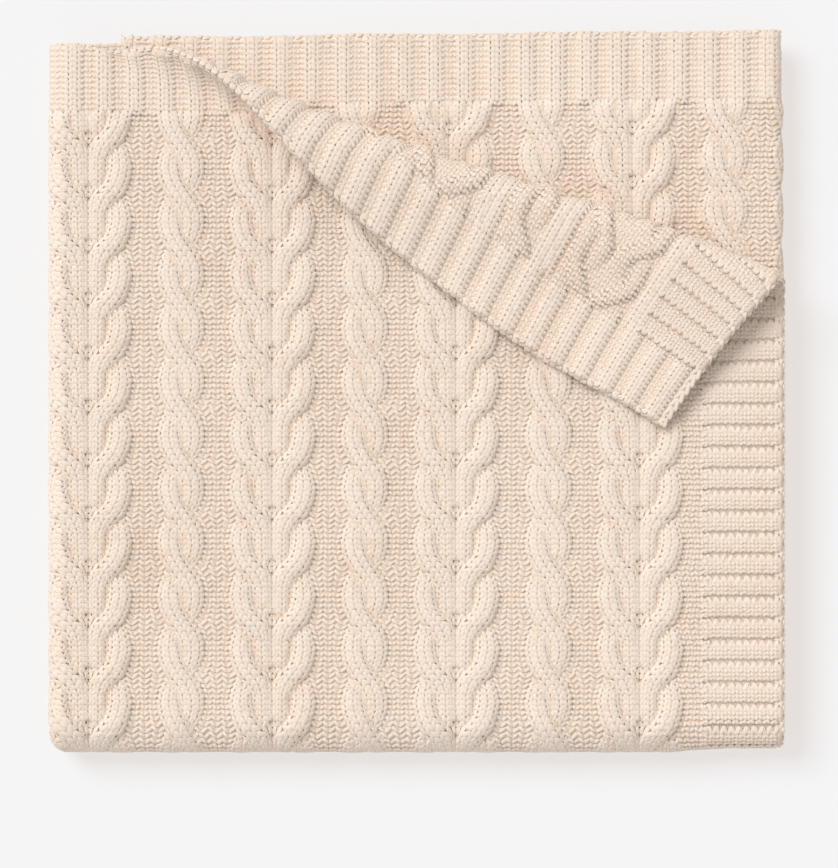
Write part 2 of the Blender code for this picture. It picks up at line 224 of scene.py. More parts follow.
# Where the folds begin and end in the flat cloth
U_LEFT = FREE_EDGE_X - LEFT_CENTRE_X
U_LEFT_END = U_LEFT + np.pi * PITCH
U_RIGHT = U_LEFT_END + RIGHT_CENTRE_X - LEFT_CENTRE_X
U_RIGHT_END = U_RIGHT + np.pi * PITCH / 2
WIDTH = 2 * FIRST_CABLE + (CABLES - 1) * CABLE_PITCH
V_FOLD = TOP_EDGE_Y - BOTTOM_CENTRE_Y
V_FOLD_END = V_FOLD + np.pi * TOP_LAYER
LENGTH = V_FOLD + V_FOLD_END

# The sheet under the stitches: how deep it lies below them, and the spacing of its points
SINK = 0.00030
CABLE_SINK = 0.00022
PURL_SINK = 0.00068
PURL_MARGIN = 0.0003
GROOVE = 0.0005
LOWEST_ACROSS = 0.0009
LOWEST_DOWN = 0.0011
FINE_ACROSS = 0.5 * STITCH
FAR_ACROSS = 0.0037
FINE_ROWS = 113
HIDDEN_ACROSS = 0.040
HIDDEN_DOWN = 0.030
LEFT_FOLD_PARTS = 10
RIGHT_FOLD_PARTS = 8
FRONT_FOLD_PARTS = 22

# A bit of yarn as rings from tip to tip: place along it, fatness and dip. Then its thickness and ply
RINGS = ((-1.0, 0.0, -1.0), (-0.48, 0.92, -0.08), (0.48, 0.92, -0.08), (1.0, 0.0, -1.0))
AROUND = np.radians((-90, -15, 50, 130, 195))
YARN = 0.00038
KNOT = 0.00072
PLY_LENGTH = 0.0011

# A knit stitch's legs: tilt, place, half width as a share of the stitch, reach in rows, bend and depth
LEG_TILT = 0.40
LEG_PLACE = 0.25
LEG_HALF = 0.34
LEG_REACH = 0.94
LEG_BEND = 0.00022
LEG_SINK = 0.00022

# A purl stitch's two bits
PURL_SLOPE = 0.80
PURL_REACH = 0.46
PURL_HALF = 0.00103
PURL_BEND = 0.00010
PURL_LOW = 0.00036

# How uneven hand knitting is
RNG = np.random.default_rng(11)
STITCH_TURN_SPREAD = 0.03
LEG_TILT_SPREAD = 0.04
LEG_HALF_SPREAD = 0.04
LEG_HEIGHT_SPREAD = 0.00004
ROW_SPREAD = 0.00010
PURL_PLACE_SPREAD = 0.00008
PURL_SLOPE_SPREAD = 0.08
PURL_HALF_SPREAD = 0.05
PURL_HEIGHT_SPREAD = 0.00007

# The wales of a cable's strand, where a stitch under the other strand is still made, and a gap's stitches
WALE_PITCH = 0.64
WALE_SCALE = (0.82, 1.15)
STEEPEST = 1.2
LEAN_STEP = 0.03
STILL_MADE = 0.10
CENTRE_SCALE = 0.8
CENTRE_FROM = 0.1
CENTRE_CLEAR = 0.08
GAP_WALES = 3

# Ribs, welts and the wrong side's bands
RIB_SCALE = 1.14
BAND_SCALE = 1.06
WELT_KNIT_ROW = -1.30
WELT_KNIT_REACH = 1.10
WELT_PURL_ROWS = (-0.25, 0.50, 1.30)

# The chain along a side edge: its legs' way and place in from the edge, and its outer rim
CHAIN_LEGS = ((-1, 0.0007), (1, 0.0027))
CHAIN_SLOPE = 0.36
CHAIN_REACH = 1.95 * ROW
CHAIN_HALF = 0.00132
CHAIN_BEND = 0.0002
CHAIN_LOW = 0.0001
CHAIN_RIM_PLACE = 0.0001
CHAIN_RIM_REACH = 1.5 * ROW
CHAIN_RIM_HALF = 0.0012
FAR_CHAIN_END = 0.012

# The chain along the cast-on and cast-off edges
BOUND_LEGS = ((-1, 0.0004), (1, 0.0021))
BOUND_SLOPE = 0.32
BOUND_REACH = 0.70 * STITCH
BOUND_HALF = 0.00092
BOUND_WAVE = 0.00035
BOUND_WAVES = 61
BOUND_SPREAD = 0.00018
BOUND_SLOPE_SPREAD = 0.05
BOUND_RIM_PLACE = 0.0002
BOUND_RIM_REACH = 0.62 * STITCH
BOUND_RIM_HALF = 0.0010
BOUND_RIM_THICK = 0.0014

# Cables and purl gaps that show, by number, with the cables in groups of one piece each
CABLE_GROUPS = ((0, 1, 2), (3, 4), (5, 6, 7), tuple(range(14, 21)))
GAPS_SHOWN = (*range(-1, 8), *range(13, 21))
BODY_ROWS = FIRST_NOTCH + (np.arange(-6, 260) + 0.5) * ROW
BODY_ROWS = BODY_ROWS[BODY_ROWS < LENGTH - RIB_END]

# Colours of the yarn and the painted shade of the sheet between its stitches, its sheen, how much each bit's
# random shift with its painted crease shade, the fibres and the ply tell, and its fine relief
YARN_DARK = (0.800, 0.655, 0.535)
YARN_PALE = (0.875, 0.760, 0.660)
YARN_SHADE = (1.0, 1.0, 1.0)
# Painted shade: the sheet, which shows only in the holes between the stitches, is coloured a little darker and
# warmer than the yarn
GROUND_SHADE = (0.98, 0.955, 0.935)
SHEEN_TINT = (1.0, 0.95, 0.88, 1.0)
SHEEN = 0.25
SHEEN_ROUGHNESS = 0.5
ROUGHNESS = 0.92
SPECULAR = 0.25
CLOUD_SCALE = 22.0
FIBRE_SCALE = 2600.0
NOISE_DETAIL = 2.0
TONE_AND_SHADE_SHARE = 0.45
FIBRE_SHARE = 0.35
PLY_SHARE = 0.25
DARK_AT = 0.35
PALE_AT = 1.15 / 1.3
BUMP_DEPTH = 0.00025
BUMP_STRENGTH = 0.5

# Studio
FLOOR_HALF = 3.0
FLOOR_COLOUR = (0.25, 0.33, 0.39, 1)
FLOOR_GLOW = (1, 0.873, 0.797, 1)
FLOOR_GLOW_STRENGTH = 0.649
SKY_COLOUR = (1.0, 0.99, 0.98, 1)
SKY_STRENGTH = 0.62
KEY_PLACE = (-0.95, 0.85, 1.45)
KEY_ANGLE = np.radians(28)
KEY_ENERGY = 1.9
KEY_COLOUR = (1.0, 0.975, 0.945)
CAMERA_PLACE = (0.0017, -0.0199, 2.028)
CAMERA_LENS = 179.0
SENSOR_WIDTH = 36.0
CLIP_END = 20.0


# The folded cloth

def smooth(t):
    """A soft step from 0 to 1."""
    t = np.clip(t, 0.0, 1.0)
    return t * t * (3 - 2 * t)


def letter_fold(u):
    """Across the cloth: x, and the height in the stack of three layers."""
    left = np.clip((u - U_LEFT) / PITCH, 0, np.pi)
    right = np.clip((u - U_RIGHT) / (PITCH / 2), 0, np.pi)
    x = FREE_EDGE_X - np.minimum(u, U_LEFT) - PITCH * np.sin(left)
    x = x + np.clip(u - U_LEFT_END, 0, U_RIGHT - U_LEFT_END)
    x = x + PITCH / 2 * np.sin(right) - np.maximum(u - U_RIGHT_END, 0)
    height = PITCH * (1 + np.cos(left)) + PITCH / 2 * (1 - np.cos(right))
    return x, height


def half_fold(v, height):
    """Down the cloth: y and z of a layer at that height in the stack."""
    turn = np.clip((v - V_FOLD) / TOP_LAYER, 0, np.pi)
    radius = height + PITCH / 2
    y = BOTTOM_CENTRE_Y + np.maximum(V_FOLD - v, 0) - radius * np.sin(turn)
    y = y + np.maximum(v - V_FOLD_END, 0)
    z = CENTRE_HEIGHT + radius * np.cos(turn)
    return y, z


def crease(x, y):
    """Place along the crease, as a share of its length, its bow, and the distance past it."""
    cos, sin = np.cos(CREASE_ANGLE), np.sin(CREASE_ANGLE)
    along = (x - FREE_EDGE_X) * cos - (y - CREASE_Y) * sin
    share = along / CREASE_LENGTH
    bow = share * (1 + share) * (CREASE_BOW + CREASE_WAVE * (0.5 + share))
    past = (x - FREE_EDGE_X) * sin + (y - CREASE_Y) * cos - bow
    past = past * smooth((x - LEFT_CENTRE_X) / LEFT_EASE)
    return along, share, bow, past


def roll_radius(share):
    """Radius of the crease's roll, which widens towards the left."""
    return ROLL_RADIUS + ROLL_GROWTH * np.maximum(-share - ROLL_GROWS_FROM, 0) ** 1.5


def turn_corner(x, y, z):
    """Roll what lies past the crease up and back over the top panel."""
    cos, sin = np.cos(CREASE_ANGLE), np.sin(CREASE_ANGLE)
    along, share, bow, past = crease(x, y)
    radius = roll_radius(share)
    angle = np.clip(past / radius, 0, np.pi)
    back = np.maximum(past - np.pi * radius, 0)
    fall = FLAP_FALL[0] + (FLAP_FALL[1] - FLAP_FALL[0]) * smooth((share - FALL_FROM) / FALL_EASE)
    drop = (2 * radius - FLAP_REST) * smooth(back / fall)
    mid = share + 0.5
    slide = FLAP_SLIDE[0] + FLAP_SLIDE[1] * mid + FLAP_SLIDE[2] * mid**2
    shrink = FLAP_SHRINK[0] + FLAP_SHRINK[1] * mid + FLAP_SHRINK[2] * mid**2
    across = bow + radius * np.sin(angle) - back * (1 - shrink)
    along = along + back * slide
    turned = past > 0
    x = np.where(turned, FREE_EDGE_X + along * cos + across * sin, x)
    y = np.where(turned, CREASE_Y - along * sin + across * cos, y)
    z = np.where(turned, z + radius * (1 - np.cos(angle)) - drop, z)
    return x, y, z


def rise(u, v):
    """How far the folded-in panels stand out past the top panel's upper edge."""
    across = np.clip((u - U_LEFT_END) / (U_RIGHT - U_LEFT_END), 0, 1)
    end = np.clip((u - U_RIGHT_END) / (WIDTH - U_RIGHT_END), 0, 1)
    full = MIDDLE_RISE[0] * across + (MIDDLE_RISE[1] - MIDDLE_RISE[0]) * end
    return full * smooth((V_FOLD - v) / V_FOLD)


def middle(u, v):
    """The middle of the cloth in space."""
    x, height = letter_fold(u)
    y, z = half_fold(v, height)
    y = y + rise(u, v)
    tx, ty, tz = turn_corner(x, y, z)
    top = (u < U_LEFT) & (v < V_FOLD)
    return np.stack([np.where(top, tx, x), np.where(top, ty, y), np.where(top, tz, z)], axis=-1)


# From the outline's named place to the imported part's
SHIFT = np.array([FREE_EDGE_X - HIGH.x, TOP_EDGE_Y + MIDDLE_RISE[0] - HIGH.y, 0.0])


def on_cloth(u, v, offset):
    """A point at an offset from the middle, towards the right side of the knit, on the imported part."""
    du = middle(u + NUDGE, v) - middle(u - NUDGE, v)
    dv = middle(u, v + NUDGE) - middle(u, v - NUDGE)
    normal = np.cross(du, dv)
    normal /= np.linalg.norm(normal, axis=-1, keepdims=True)
    point = middle(u, v) + offset[..., None] * normal - SHIFT
    point[..., 2] = np.maximum(point[..., 2], 0.0)
    return point


# The raised knit

def strand_at(turn, table):
    """Place across, half width and height of a strand."""
    return tuple(np.interp(turn, table[:, 0], table[:, i]) for i in (1, 2, 3))


def crease_by(across, turn, table, width):
    """1 in the crease of a strand where it lies against the upper one, easing to 0 within a width."""
    _, _, top = strand_at(turn, table)
    place, reach, other_top = strand_at(np.mod(turn + 1, 2), table)
    beside = np.abs(across - place) / reach - PRESS_AT
    return np.exp(-((beside / width) ** 2)) * smooth((other_top - top) / PRESS_STEP + 0.5)


def strand_height(across, turn, table):
    """Height of a strand across the cable, pressed down where the upper strand lies beside it."""
    place, reach, top = strand_at(turn, table)
    press = NARROW_PRESS if table is NARROW_STRAND else WIDE_PRESS
    press = press * crease_by(across, turn, table, PRESS_WIDTH)
    return top * np.sqrt(np.clip(1 - ((across - place) / reach) ** 2, 0, 1)) * (1 - press)


def rope(across, phase, table):
    """Height of a rope of two strands, from 0 to 1."""
    first = strand_height(across, np.mod(phase, 2), table)
    return np.maximum(first, strand_height(across, np.mod(phase + 1, 2), table))


def chart(u):
    """The nearest cable's number and the distance from its middle."""
    number = np.clip(np.round((u - FIRST_CABLE) / CABLE_PITCH), 0, CABLES - 1)
    return number, u - FIRST_CABLE - number * CABLE_PITCH


def is_wide(number):
    """Every other cable is a wide one, of two mirrored ropes."""
    return np.mod(number, 2) == 0


def cable_phase(v):
    """How many twists of the cables lie between the first notch and v."""
    return (v - FIRST_NOTCH) / TWIST


def cables(number, across, phase, wide_table, narrow_table):
    """Height of the cables, from 0 to 1."""
    wide = rope(np.abs(across) / WIDE_HALF - 1, phase, wide_table)
    return np.where(is_wide(number), wide, rope(across / NARROW_HALF, phase, narrow_table))


def behind_cable(number, across):
    """How far a point lies beyond the wales behind a cable."""
    return np.abs(across) - np.where(is_wide(number), WIDE_WALES, NARROW_WALES) * STITCH


def ribbing(u, side=1):
    """Height of the rib on one side of the cloth, from 0 to 1."""
    wave = -side * np.cos(2 * np.pi * RIBS_PER_CABLE * (u - FIRST_CABLE) / CABLE_PITCH)
    return smooth(RIB_BROAD + RIB_STEEP * wave)


def welting(v):
    """Height of the border's welts, from 0 to 1."""
    wave = np.cos(2 * np.pi * (v - RIB_END - ROW) / (WELT_ROWS * ROW))
    return smooth(WELT_BROAD + WELT_STEEP * wave)


def out_of_rib(v):
    """0 in the rib along the top edge and 1 below it."""
    return smooth((v - RIB_END) / RIB_EASE)


def in_border(u):
    """Whether a place across the cloth is in a side border."""
    return np.minimum(u, WIDTH - u) < BORDER


def body_share(u):
    """0 on the side borders and 1 on the body, with a step about a stitch wide."""
    return smooth((np.minimum(u, WIDTH - u) - BORDER) / BORDER_EASE + 0.5)


def pit(u, v):
    """The small holes down the middle of the wide cables, just above each crossing."""
    number, across = chart(u)
    phase = np.mod(cable_phase(v), 1.0)
    deep = sum(depth * np.exp(-(((phase - at) / spread) ** 2)) for at, spread, depth in PITS)
    return deep * np.exp(-((across / PIT_HALF) ** 2)) * is_wide(number) * (v > FIRST_NOTCH - TWIST)


def face_relief(u, v):
    """How far the right side stands proud of the plain cloth."""
    number, across = chart(u)
    height = CABLE_HEIGHT * cables(number, across, cable_phase(v), WIDE_STRAND, NARROW_STRAND)
    height = np.maximum(height, GAP_HEIGHT) - pit(u, v)
    inner = body_share(u)
    height = height * inner + WELT_HEIGHT * welting(v) * (1 - inner)
    into = out_of_rib(v)
    return height * into + RIB_HEIGHT * ribbing(u) * (1 - into)


def back_relief(u, v):
    """How far the wrong side stands proud: bands of knit between the cables, ribs and welts."""
    number, across = chart(u)
    bands = smooth((behind_cable(number, across) + BAND_EDGE) / BAND_EASE)
    height = BACK_CABLE * cables(number, across, cable_phase(v), BACK_STRAND, BACK_STRAND)
    height = np.maximum(BACK_HEIGHT * bands, height)
    inner = body_share(u)
    height = height * inner + WELT_HEIGHT * welting(v + BACK_WELT_SHIFT) * (1 - inner)
    into = out_of_rib(v)
    return height * into + BACK_RIB * ribbing(u, -1) * (1 - into)


def evened(u, v, height):
    """The relief, evened out where the cloth is drawn tight round the side and front folds."""
    side = smooth(((u - U_LEFT) / (np.pi * PITCH) - EVEN_FROM) / EVEN_WITHIN) * (u < U_LEFT_END)
    front = smooth(((v - V_FOLD) / (np.pi * TOP_LAYER) - EVEN_FROM) / EVEN_WITHIN)
    even = FOLD_EVEN * np.maximum(side, front)
    swell = FOLD_SWELL * (BORDER_SWELL + (1 - BORDER_SWELL) * smooth((u - SWELL_FROM) / BORDER))
    return height * (1 - even) + swell * even


# What is raised, and what can be seen

def flap_edge():
    """The turned corner's edge on the top panel: its place along the crease, and how far back."""
    across, down = EDGE_SAMPLES
    u = np.concatenate([np.linspace(U_LEFT, 0, across), np.zeros(down)])
    v = np.concatenate([np.zeros(across), np.linspace(0, TOP_EDGE_Y - CREASE_Y, down)])
    spot = middle(u, v)
    _, share, _, past = crease(spot[:, 0], spot[:, 1])
    order = np.argsort(share)
    return share[order], np.minimum(past[order], 0)


EDGE_SHARE, EDGE_PAST = flap_edge()


def place_on_panel(u, v):
    """Where a point of the flat top panel lies by the crease, before the corner is turned."""
    x, _ = letter_fold(u)
    _, share, _, past = crease(x, TOP_EDGE_Y - v)
    return share, past, roll_radius(share)


def face_shown(u, v):
    """1 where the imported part's right side is raised, easing to 0 where it is hidden."""
    share, past, radius = place_on_panel(u, v)
    limit = np.interp(share, EDGE_SHARE, EDGE_PAST, right=0.0)
    clear = smooth((limit + UNDER_EDGE - past) / UNDER_EDGE)
    curled = smooth((LEFT_CURL - share) / CURL_EASE)
    curled = curled * smooth((np.pi / 2 * radius - past) / EDGE_EASE)
    side = smooth((U_LEFT + SIDE_TURN * np.pi * PITCH - u) / EDGE_EASE)
    front = smooth((V_FOLD + FRONT_TURN * np.pi * TOP_LAYER - v) / EDGE_EASE)
    top = np.maximum(clear, curled) * side * front
    beyond = smooth((u - U_RIGHT_END + PITCH / 2) / EDGE_EASE) * (v < V_FOLD)
    return top + beyond * smooth((past / radius - MIDDLE_CLEAR) / MIDDLE_EASE)


def back_shown(u, v):
    """1 where the wrong side is raised on the turned corner, easing to 0 at its roll."""
    _, past, radius = place_on_panel(u, v)
    return smooth((past / radius - BACK_CLEAR) / BACK_EASE) * (u < U_LEFT) * (v < V_FOLD)


def on_folds(u, v):
    """1 on the outsides of the side and front folds, which can be seen from the sides."""
    left = smooth((u - U_LEFT) / EDGE_EASE) * smooth((U_LEFT_END - FOLD_END_GAP - u) / EDGE_EASE)
    right = smooth((u - U_RIGHT) / EDGE_EASE) * smooth((U_RIGHT_END - u) / EDGE_EASE)
    front_end = V_FOLD + FOLD_RELIEF_TURN * np.pi * TOP_LAYER
    front = smooth((v - V_FOLD) / EDGE_EASE) * smooth((front_end - v) / EDGE_EASE)
    return np.maximum(np.maximum(left, right), front * (u < U_LEFT_END))


def raised(u, v):
    """Share of the full relief on the right side."""
    return np.maximum(face_shown(u, v), FOLD_RELIEF * on_folds(u, v))


def face_seen(u, v):
    """Where the right side can be seen from above or from a side, so that it has stitches."""
    share, past, radius = place_on_panel(u, v)
    limit = np.interp(share, EDGE_SHARE, EDGE_PAST, right=0.0)
    clear = past < limit + SEEN_UNDER
    curled = (share < LEFT_CURL + SEEN_CURL) & (past < SEEN_CURL_TURN * np.pi * radius)
    side = u < U_LEFT + SEEN_SIDE_TURN * np.pi * PITCH
    front = v < V_FOLD + SEEN_FRONT_TURN * np.pi * TOP_LAYER
    above = (past > MIDDLE_CLEAR * radius) | (v < SEEN_TOP)
    beyond = (u > U_RIGHT_END - SEEN_RIGHT) & (v < V_FOLD) & above
    left = (u > U_LEFT - SEEN_MARGIN) & side
    right = (u > U_RIGHT - SEEN_MARGIN) & (u < U_RIGHT_END + SEEN_MARGIN)
    return ((clear | curled) & side & front) | beyond | left | right


def back_seen(u, v):
    """Where the wrong side can be seen on the turned corner."""
    _, past, radius = place_on_panel(u, v)
    return (past > SEEN_BACK * radius) & (u < U_LEFT) & (v < V_FOLD)


def ground_face(u, v):
    """The height that stitches of the right side lie on."""
    return HALF + raised(u, v) * evened(u, v, face_relief(u, v))


def ground_back(u, v):
    """The height that stitches of the wrong side lie on."""
    return HALF + back_shown(u, v) * back_relief(u, v)


def ground_plain(u, v):
    """The plain cloth's own surface."""
    return np.full_like(u, HALF)


def ground_middle(u, v):
    """The middle of the cloth, for what runs round its edge."""
    return np.zeros_like(u)


SIDES = {1: (face_seen, ground_face), -1: (back_seen, ground_back)}


# Small bits of yarn

def bit_of_yarn():
    """One bit: its points' places along, aside and up, with their angles, and its triangles."""
    points = []
    for along, fat, dip in RINGS:
        for angle in AROUND if fat else AROUND[:1]:
            points.append((along, fat * np.cos(angle), fat * np.sin(angle) + dip, angle))
    sides = len(AROUND)
    tip = len(points) - 1
    cells = []
    for k in range(sides):
        j = (k + 1) % sides
        cells.append((0, 1 + j, 1 + k))
        for ring in range(len(RINGS) - 3):
            low = 1 + sides * ring
            high = low + sides
            cells.append((low + k, low + j, high + j))
            cells.append((low + k, high + j, high + k))
        cells.append((tip, tip - sides + k, tip - sides + j))
    return np.array(points).T, np.array(cells)


BIT_POINTS, BIT_CELLS = bit_of_yarn()


def make_mesh(name, points, triangles, material, ply=None, tone_and_painted_shade=None):
    """A smooth mesh of triangles, with its yarn's ply at each point and how much paler or darker each bit is,
    at random and with painted shade in the creases, or none on the sheet.
    """
    mesh = bpy.data.meshes.new(name)
    mesh.vertices.add(len(points))
    mesh.vertices.foreach_set("co", np.ascontiguousarray(points, np.float32).ravel())
    mesh.loops.add(triangles.size)
    mesh.loops.foreach_set("vertex_index", np.ascontiguousarray(triangles, np.int32).ravel())
    mesh.polygons.add(len(triangles))
    mesh.polygons.foreach_set("loop_start", np.arange(0, triangles.size, 3, dtype=np.int32))
    mesh.polygons.foreach_set("use_smooth", np.ones(len(triangles), bool))
    mesh.update(calc_edges=True)
    mesh.validate()
    for label, values in (("ply", ply), ("tone_and_painted_shade", tone_and_painted_shade)):
        if values is None:
            values = np.zeros(len(points))
        spread = mesh.attributes.new(label, "FLOAT", "POINT")
        spread.data.foreach_set("value", np.ascontiguousarray(values, np.float32))
    mesh.materials.append(material)
    thing = bpy.data.objects.new(name, mesh)
    bpy.context.scene.collection.objects.link(thing)
    return thing


class Yarn:
    """Gathers closed bits of yarn, laid on the cloth, into one mesh."""

    def __init__(self):
        self.points = []
        self.triangles = []
        self.ply = []
        self.tone_and_painted_shade = []
        self.count = 0

    def add(self, u, v, slope, length, width, thick, lift, ground, bend=0.0, side=1, tint=0.0):
        """Bits with their middle at u and v, pointing along slope (across, down) on one side of the cloth."""
        n = len(u)
        if n == 0:
            return
        values = (*slope, length, width, lift, bend)
        du, dv, length, width, lift, bend = (np.broadcast_to(x, n)[:, None] for x in values)
        size = np.hypot(du, dv)
        du, dv = du / size, dv / size
        share, aside, up, angle = BIT_POINTS
        along = length * share
        across = width * aside + bend * (1 - share**2)
        at_u = u[:, None] + du * along - dv * across
        at_v = v[:, None] + dv * along + du * across
        offset = ground(at_u, at_v) + lift + thick * up
        self.points.append(on_cloth(at_u.ravel(), at_v.ravel(), side * offset.ravel()))
        cells = BIT_CELLS if side > 0 else BIT_CELLS[:, ::-1]
        starts = self.count + len(share) * np.arange(n)
        self.triangles.append((starts[:, None, None] + cells).reshape(-1, 3))
        self.ply.append((along / PLY_LENGTH + angle / np.pi).ravel())
        # Each bit's colour shifts at random, and further towards dark by the painted shade given for a cable's
        # creases
        self.tone_and_painted_shade.append(np.repeat(RNG.uniform(0, 1, n) + tint, len(share)))
        self.count += n * len(share)

    def build(self, name, material):
        """The mesh of all the bits."""
        arrays = (self.points, self.triangles, self.ply, self.tone_and_painted_shade)
        points, triangles, ply, tone_and_painted_shade = (np.concatenate(parts) for parts in arrays)
        return make_mesh(name, points, triangles, material, ply, tone_and_painted_shade)


# Stitches

def stray(spread, count):
    """How far each of so many stitches strays from an even one."""
    return RNG.normal(0, spread, count)


def knit(yarn, u, v, ground, lean=0.0, scale=1.0, side=1, reach=LEG_REACH, tint=0.0):
    """Knit stitches: two legs each, meeting at the bottom. Lean is a wale's run across for each row down."""
    n = len(u)
    size = STITCH * scale
    stretch = np.hypot(1, lean)
    turn = np.arctan(lean) + stray(STITCH_TURN_SPREAD, n)
    for leg in (-1, 1):
        angle = turn - leg * (LEG_TILT + stray(LEG_TILT_SPREAD, n))
        off = leg * LEG_PLACE * size
        yarn.add(
            u + off / stretch,
            v - off * lean / stretch + stray(ROW_SPREAD, n),
            slope=(np.sin(angle), np.cos(angle)),
            length=reach * ROW * stretch,
            width=LEG_HALF * size * (1 + stray(LEG_HALF_SPREAD, n)),
            thick=YARN,
            lift=stray(LEG_HEIGHT_SPREAD, n) - LEG_SINK,
            ground=ground,
            bend=-leg * LEG_BEND,
            side=side,
            tint=tint,
        )


def purl(yarn, u, v, width, ground, side=1):
    """Purl stitches: two short bits that make one wave of a zigzag across the wale."""
    n = len(u)
    for part in (-1, 1):
        yarn.add(
            u + part * width / 4 + stray(PURL_PLACE_SPREAD, n),
            v + stray(ROW_SPREAD, n),
            slope=(1.0, part * PURL_SLOPE + stray(PURL_SLOPE_SPREAD, n)),
            length=PURL_REACH * width,
            width=PURL_HALF * (1 + stray(PURL_HALF_SPREAD, n)),
            thick=KNOT,
            lift=stray(PURL_HEIGHT_SPREAD, n) - PURL_LOW,
            ground=ground,
            bend=part * PURL_BEND,
            side=side,
        )


def strand_stitches(yarn, table, centre, half, base, start, rows):
    """The three wales of one strand, where the other doesn't hide them. A mirrored rope's half is negative."""
    phase = cable_phase(rows)
    turn = np.mod(phase + start, 2)
    _, reach, top = strand_at(turn, table)

    def path(phase, wale):
        """Place across the rope of a wale."""
        place, wide, _ = strand_at(np.mod(phase + start, 2), table)
        return place + wale * wide

    def ground(u, v):
        """The height that this strand's stitches lie on, without the other strand."""
        own = strand_height((u - centre) / half - base, np.mod(cable_phase(v) + start, 2), table)
        into = out_of_rib(v)
        lifted = CABLE_HEIGHT * into * own - pit(u, v) + RIB_HEIGHT * ribbing(u) * (1 - into)
        return HALF + raised(u, v) * evened(u, v, lifted)

    for wale in (-WALE_PITCH, 0.0, WALE_PITCH):
        across = path(phase, wale)
        u = centre + half * (base + across)
        own = top * np.sqrt(1 - wale**2)
        other = strand_height(across, np.mod(turn + 1, 2), table)
        keep = (own > other - STILL_MADE) & face_seen(u, rows)
        run = path(phase + LEAN_STEP, wale) - path(phase - LEAN_STEP, wale)
        lean = np.clip(half * run / (2 * LEAN_STEP * TWIST), -STEEPEST, STEEPEST)
        scale = np.clip(WALE_PITCH * reach * abs(half) / STITCH / np.hypot(1, lean), *WALE_SCALE)
        # Painted shade: stitches in the crease beside the upper strand are coloured darker
        tint = -CREASE_SHADE * crease_by(across, turn, table, SHADE_WIDTH)
        knit(yarn, u[keep], rows[keep], ground, lean[keep], scale[keep], tint=tint[keep])


def cable_stitches(yarn, number, rows):
    """The stitches of a cable: the two strands of each rope, and a wide one's middle wale."""
    centre = FIRST_CABLE + number * CABLE_PITCH
    wide = is_wide(number)
    table = WIDE_STRAND if wide else NARROW_STRAND
    ropes = ((WIDE_HALF, 1.0), (-WIDE_HALF, 1.0)) if wide else ((NARROW_HALF, 0.0),)
    for half, base in ropes:
        for start in (0.0, 1.0):
            strand_stitches(yarn, table, centre, half, base, start, rows)
    if wide:
        u = np.full_like(rows, centre)
        beat = np.mod(cable_phase(rows), 1.0)
        keep = face_seen(u, rows) & (beat > CENTRE_FROM) & (np.abs(beat - PITS[0][0]) > CENTRE_CLEAR)
        knit(yarn, u[keep], rows[keep], ground_face, scale=CENTRE_SCALE)


def cable_edges(number, phase):
    """How far a cable reaches to either side of its middle, towards smaller and larger u."""
    table = WIDE_STRAND if is_wide(number) else NARROW_STRAND
    places = [strand_at(np.mod(phase + start, 2), table) for start in (0, 1)]
    high = np.max([place + reach for place, reach, _ in places], axis=0)
    low = np.min([place - reach for place, reach, _ in places], axis=0)
    if is_wide(number):
        return WIDE_HALF * (1 + high), WIDE_HALF * (1 + high)
    return -NARROW_HALF * low, NARROW_HALF * high


def gap_stitches(yarn, number, rows):
    """The purl gap three stitches wide after a cable, its columns bent along the cables' edges."""
    phase = cable_phase(rows)
    centre = FIRST_CABLE + number * CABLE_PITCH
    if number < 0:
        start = np.full_like(rows, BORDER)
    else:
        start = centre + cable_edges(number, phase)[1]
    if number + 1 >= CABLES:
        end = np.full_like(rows, WIDTH - BORDER)
    else:
        end = centre + CABLE_PITCH - cable_edges(number + 1, phase)[0]
    width = (end - start) / GAP_WALES
    for column in range(GAP_WALES + 1):
        u = start + column * width
        keep = face_seen(u, rows)
        purl(yarn, u[keep], rows[keep], width[keep], ground_face)


def columns(first, last):
    """The middles of the wales between two places across, and which are knit in the two by two rib."""
    low = np.ceil((first - FIRST_CABLE) / STITCH - 0.5)
    high = np.floor((last - FIRST_CABLE) / STITCH - 0.5)
    number = np.arange(low, high + 1) + 0.5
    return number * STITCH + FIRST_CABLE, np.isin(np.mod(number, 4), (1.5, 2.5))


def seen_grid(us, vs, seen):
    """Every crossing of places across and down the cloth that can be seen."""
    u, v = (places.ravel() for places in np.meshgrid(us, vs))
    keep = seen(u, v)
    return u[keep], v[keep]


def rib_stitches(yarn, first, last, side=1):
    """The two by two rib along the cast-on and cast-off edges."""
    seen, ground = SIDES[side]
    place, knitted = columns(first, last)
    if side < 0:
        knitted = ~knitted
    rows = RIB_END - (np.arange(RIB_ROWS) + 0.5) * ROW
    rows = np.concatenate([rows, LENGTH - rows])
    rib_middle = FIRST_CABLE + np.round((place - FIRST_CABLE) / (2 * STITCH)) * 2 * STITCH
    wales = rib_middle + (place - rib_middle) * RIB_SCALE
    knit(yarn, *seen_grid(wales[knitted], rows, seen), ground, scale=RIB_SCALE, side=side)
    purl(yarn, *seen_grid(place[~knitted], rows, seen), STITCH, ground, side)


def welt_stitches(yarn, first, last, side=1):
    """The welted side border: ridges of purl with low knit rows between."""
    seen, ground = SIDES[side]
    place, _ = columns(first, last)
    crests = RIB_END + ROW + WELT_ROWS * ROW * np.arange(-1, WELTS)
    crests = crests[crests < LENGTH - RIB_END]
    if side < 0:
        crests = crests + BACK_WELT_SHIFT
    rows = crests + WELT_KNIT_ROW * ROW
    spots = seen_grid(place, rows[rows > RIB_END], seen)
    knit(yarn, *spots, ground, side=side, reach=WELT_KNIT_REACH)
    for row in WELT_PURL_ROWS:
        rows = crests + row * ROW
        purl(yarn, *seen_grid(place, rows[rows > RIB_END], seen), STITCH, ground, side)


